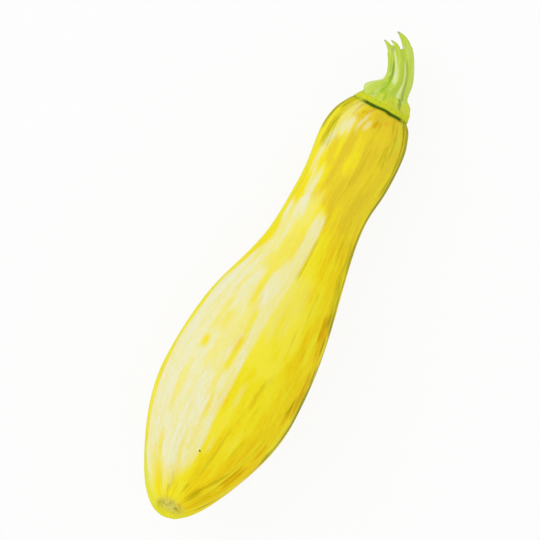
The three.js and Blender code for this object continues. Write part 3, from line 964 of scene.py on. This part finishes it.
def skin_material():
    """The skin: broad yellows with painted shade on the right, and the painted strokes over them, among them
    painted highlight and shade, then the collar, the cork and the speck.
    """
    nodes = Nodes("squash_skin")
    place = nodes.attribute("skin", "Vector")
    along = nodes.attribute("along")
    clouds = nodes.noise(place, (0.16, 0.16, 0.06), detail=3, offset=17)
    streaks = nodes.noise(place, (0.36, 0.36, 0.04), detail=4, roughness=0.62)
    other_streaks = nodes.noise(place, (0.8, 0.8, 0.07), detail=3, roughness=0.6, offset=11)
    fibres = nodes.noise(place, (2.4, 2.4, 0.2), detail=3, roughness=0.6)
    mottle = nodes.noise(place, (0.9, 0.9, 0.45), detail=3, roughness=0.6, offset=5)
    dapples = nodes.noise(place, (2.0, 2.0, 1.2), detail=2, offset=29)

    # Streaks, clouds and mottling vary how gold the skin is. The streaks are weaker on the head.
    streaked = nodes.times(nodes.spread(streaks, -0.5, 0.33), nodes.ramp(along, 115, 145, 1.0, 0.55))
    gold = nodes.plus(nodes.attribute("gold"), streaked)
    gold = nodes.plus(gold, nodes.spread(clouds, -0.25, 0.25))
    gold = nodes.plus(gold, nodes.spread(mottle, -0.12, 0.12))
    on_head = nodes.ramp(along, 110, 145)
    deep = nodes.mix(on_head, DEEP_YELLOW, HEAD_YELLOW)
    deepest = nodes.mix(on_head, GOLD_COLOUR, HEAD_GOLD)
    colour = nodes.mix(nodes.ramp(gold, -0.7, 0.0), LIGHT_YELLOW, YELLOW)
    colour = nodes.mix(nodes.ramp(gold, 0.0, 0.45), colour, deep)
    colour = nodes.mix(nodes.ramp(gold, 0.4, 1.0), colour, deepest)
    # The rib grooves are darkened towards gold: painted shade.
    colour = nodes.mix(nodes.times(nodes.attribute("rib_groove"), 0.25), colour, deepest)
    colour = nodes.mix(nodes.broken("ochre_shade_and_flecks", other_streaks, 0.35, 0.3, 1.1), colour, OCHRE_COLOUR)
    colour = nodes.mix(nodes.broken("ground_spot", streaks, 0.35, 0.2, 0.9), colour, WARM_CREAM)

    # The cream, a painted highlight, covers the skin unevenly, in streaks, fibres and dapples.
    cream_highlight = nodes.mix(nodes.ramp(other_streaks, 0.35, 0.65), WARM_CREAM, CREAM)
    cover = nodes.plus(nodes.spread(streaks, 0.62, 1.12), nodes.ramp(fibres, 0.35, 0.65, -0.16, 0.1))
    cover = nodes.plus(cover, nodes.ramp(dapples, 0.35, 0.65, -0.1, 0.06))
    colour = nodes.mix(nodes.times(nodes.attribute("cream_highlight"), cover), colour, cream_highlight)

    # Lime, olive (painted shade and green streaks), the creases' painted shade and a fine grain lie
    # over everything so far.
    lime = nodes.broken("lime", streaks, 0.4, 0.1, 1.0)
    lime = nodes.times(lime, nodes.ramp(mottle, 0.35, 0.6, 0.5, 0.95))
    colour = nodes.mix(lime, colour, LIME_COLOUR)
    colour = nodes.mix(nodes.broken("olive_shade_and_streaks", streaks, 0.3, 0.25, 1.05), colour, OLIVE_COLOUR)
    crease_shade = nodes.times(nodes.broken("crease_shade", other_streaks, 0.25, 0.2, 1.0), 0.6)
    colour = nodes.mix(crease_shade, colour, SHADE_AND_GRAIN_COLOUR)
    grain = nodes.plus(nodes.spread(fibres, 0.04, -0.01), nodes.spread(dapples, 0.03, -0.01))
    colour = nodes.mix(grain, colour, SHADE_AND_GRAIN_COLOUR)

    # Round the stem: a green tinge, the collar beyond the crease, orange flecks, and the crease's dark line
    # of painted shade.
    from_crease = nodes.attribute("from_crease")
    colour = nodes.mix(nodes.ramp(along, 176.5, 181.5, 0.0, 0.08), colour, OLIVE_COLOUR)
    collar = nodes.mix(nodes.ramp(mottle, 0.35, 0.6), COLLAR_GREEN, COLLAR_COLOUR)
    colour = nodes.mix(nodes.ramp(from_crease, -0.2, 0.6), colour, collar)
    spots = nodes.noise(place, (0.42, 0.42, 0.4), detail=2, offset=23)
    flecks = nodes.times(nodes.ramp(spots, 0.56, 0.7), nodes.ramp(along, 172, 180, 0.0, 0.5))
    colour = nodes.mix(flecks, colour, FLECK)
    from_line = nodes.math("ABSOLUTE", from_crease)
    line = nodes.plus(nodes.ramp(from_line, 1.5, 0.4, 0.0, 0.4), nodes.ramp(from_line, 0.75, 0.2, 0.0, 0.6))
    colour = nodes.mix(nodes.times(line, nodes.attribute("top")), colour, CREASE_SHADE_GREEN)

    # The cork is blotchy, and lets some of the skin's colour through.
    blotches = nodes.noise(nodes.attribute("place", "Vector"), (0.45, 0.45, 0.45), detail=3, roughness=0.6)
    cork = nodes.mix(nodes.ramp(blotches, 0.42, 0.66), CORK_COLOUR, CORK_DARK)
    cover = nodes.times(nodes.attribute("cork"), nodes.ramp(blotches, 0.3, 0.65, 0.5, 0.95))
    colour = nodes.mix(cover, colour, cork)
    colour = nodes.mix(nodes.ramp(nodes.attribute("from_speck"), *SPECK_EDGE), colour, SPECK_COLOUR)
    return nodes.complete(
        colour,
        roughness=nodes.spread(streaks, 0.38, 0.48),
        specular=0.015,
        normal=nodes.bump(fibres, strength=0.18, distance=0.0002),
    )


# Colours of the stem
STEM_COLOUR = srgb(192, 216, 64)
STEM_LIGHT = srgb(210, 226, 100)
STEM_GREEN_COLOUR = srgb(160, 200, 34)
STEM_SHADE_COLOUR = srgb(148, 168, 78)
STEM_HIGHLIGHT_COLOUR = srgb(230, 240, 176)
STEM_YELLOW = srgb(212, 221, 56)
STEM_FIBRE = srgb(232, 234, 206)
STEM_TIP = srgb(172, 178, 140)


def stem_material():
    """The stem: streaked greens, painted highlights on its ridges and painted shade in its grooves,
    yellow at the foot, pale fibres on the torn face and grey tips.
    """
    nodes = Nodes("squash_stem")
    place = nodes.attribute("stem_place", "Vector")
    streaks = nodes.noise(place, (0.9, 0.9, 0.1), detail=4, roughness=0.6)
    fibres = nodes.noise(place, (3.2, 3.2, 0.3), detail=3, roughness=0.6)
    mottle = nodes.noise(place, (0.9, 0.9, 0.6), detail=3, roughness=0.6)
    colour = nodes.mix(nodes.ramp(streaks, 0.35, 0.65), STEM_COLOUR, STEM_LIGHT)
    colour = nodes.mix(nodes.broken("green", streaks, 0.25, 0.15, 0.9), colour, STEM_GREEN_COLOUR)
    # The grooves are darkened green: painted shade.
    colour = nodes.mix(nodes.ramp(nodes.attribute("groove"), 0.5, 0.95, 0.0, 0.3), colour, STEM_GREEN_COLOUR)
    from_foot = nodes.plus(nodes.attribute("stem_along"), nodes.spread(mottle, -2.2, 2.2))
    colour = nodes.mix(nodes.ramp(from_foot, 5.0, 0.5), colour, STEM_YELLOW)
    flecks = nodes.times(nodes.ramp(mottle, 0.58, 0.7), nodes.ramp(from_foot, 4.0, 1.5))
    colour = nodes.mix(flecks, colour, FLECK)
    # Painted highlights on the ridges.
    colour = nodes.mix(nodes.broken("pale", streaks, 0.25, 0.1, 0.95), colour, STEM_HIGHLIGHT_COLOUR)
    # Painted shade in the grooves.
    colour = nodes.mix(nodes.broken("dark", streaks, 0.2, 0.15, 0.95), colour, STEM_SHADE_COLOUR)
    colour = nodes.mix(nodes.attribute("torn_end"), colour, STEM_FIBRE)
    colour = nodes.mix(nodes.ramp(nodes.attribute("strip_past"), 0.7, 1.0), colour, STEM_TIP)
    return nodes.complete(
        colour,
        roughness=nodes.spread(fibres, 0.5, 0.68),
        specular=0.25,
        normal=nodes.bump(fibres, strength=0.5, distance=0.0004),
    )


fruit.data.materials.append(skin_material())
stem.data.materials.append(stem_material())

for piece, node, slot in ((fruit, "fruit", "skin"), (stem, "stem", "stem")):
    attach(piece, "root")
    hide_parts(node)

# ---------------------------------------------------------------------------------------------------------
# Floor, light and camera, in metres

FLOOR_HALF = 3.0
FLOOR_COLOUR = (0.9, 0.9, 0.9, 1)
WHITE_SHARE = 0.88
SKY_STRENGTH = 0.86

floor_mesh = bpy.data.meshes.new("floor")
corners = [(x * FLOOR_HALF, y * FLOOR_HALF, 0) for x, y in ((-1, -1), (1, -1), (1, 1), (-1, 1))]
floor_mesh.from_pydata(corners, [], [(0, 1, 2, 3)])
floor = bpy.data.objects.new("floor", floor_mesh)
bpy.context.scene.collection.objects.link(floor)


def floor_material():
    """A pale matt floor, lifted most of the way to white where the camera, a gloss or a glass sees it.

    It still takes the squash's shadow.
    """
    nodes = Nodes("floor")
    matt = nodes.tree.nodes.new("ShaderNodeBsdfDiffuse")
    matt.inputs["Color"].default_value = FLOOR_COLOUR
    white = nodes.tree.nodes.new("ShaderNodeEmission")
    rays = nodes.tree.nodes.new("ShaderNodeLightPath")
    seen = nodes.math("MAXIMUM", rays.outputs["Is Camera Ray"], rays.outputs["Is Glossy Ray"])
    seen = nodes.math("MAXIMUM", seen, rays.outputs["Is Transmission Ray"])
    blend = nodes.tree.nodes.new("ShaderNodeMixShader")
    nodes.link(nodes.times(seen, WHITE_SHARE), blend.inputs[0])
    nodes.link(matt.outputs[0], blend.inputs[1])
    nodes.link(white.outputs[0], blend.inputs[2])
    nodes.link(blend.outputs[0], nodes.tree.nodes["Material Output"].inputs["Surface"])
    nodes.tree.nodes.remove(nodes.shader)
    return nodes.material


floor_mesh.materials.append(floor_material())

world = bpy.data.worlds.new("studio")
world.use_nodes = True
world.node_tree.nodes["Background"].inputs["Color"].default_value = (1, 1, 1, 1)
world.node_tree.nodes["Background"].inputs["Strength"].default_value = SKY_STRENGTH
bpy.context.scene.world = world

# The picture's axes on the floor: the squash leans a little to the right of upright.
PICTURE_RIGHT = Vector((0.4705, -0.8824, 0))
PICTURE_UP = Vector((0.8824, 0.4705, 0))
VIEW_CENTRE = Vector((-0.0021, 0.0083, 0.02))
VIEW_WIDTH = 0.2195
CAMERA_HEIGHT = 1.5
SENSOR_WIDTH = 36

camera_data = bpy.data.cameras.new("camera")
camera_data.sensor_width = SENSOR_WIDTH
camera_data.lens = SENSOR_WIDTH * CAMERA_HEIGHT / VIEW_WIDTH
camera = bpy.data.objects.new("camera", camera_data)
axes = Matrix((PICTURE_RIGHT, PICTURE_UP, Vector((0, 0, 1)))).transposed()
camera.matrix_world = Matrix.Translation(VIEW_CENTRE + Vector((0, 0, CAMERA_HEIGHT))) @ axes.to_4x4()
bpy.context.scene.collection.objects.link(camera)
bpy.context.scene.camera = camera


def area_light(name, toward, distance, size, power):
    """A square light that shines on the squash from a direction in the picture: right, up and towards us."""
    right, up_share, out = toward
    direction = (right * PICTURE_RIGHT + up_share * PICTURE_UP + out * Vector((0, 0, 1))).normalized()
    data = bpy.data.lights.new(name, "AREA")
    data.size = size
    data.energy = power
    light = bpy.data.objects.new(name, data)
    light.location = VIEW_CENTRE + direction * distance
    light.rotation_mode = "QUATERNION"
    light.rotation_quaternion = direction.to_track_quat("Z", "Y")
    bpy.context.scene.collection.objects.link(light)


area_light("key", toward=(-0.75, 0.45, 1.0), distance=1.6, size=1.0, power=4)

bpy.context.scene.view_settings.view_transform = "Standard"
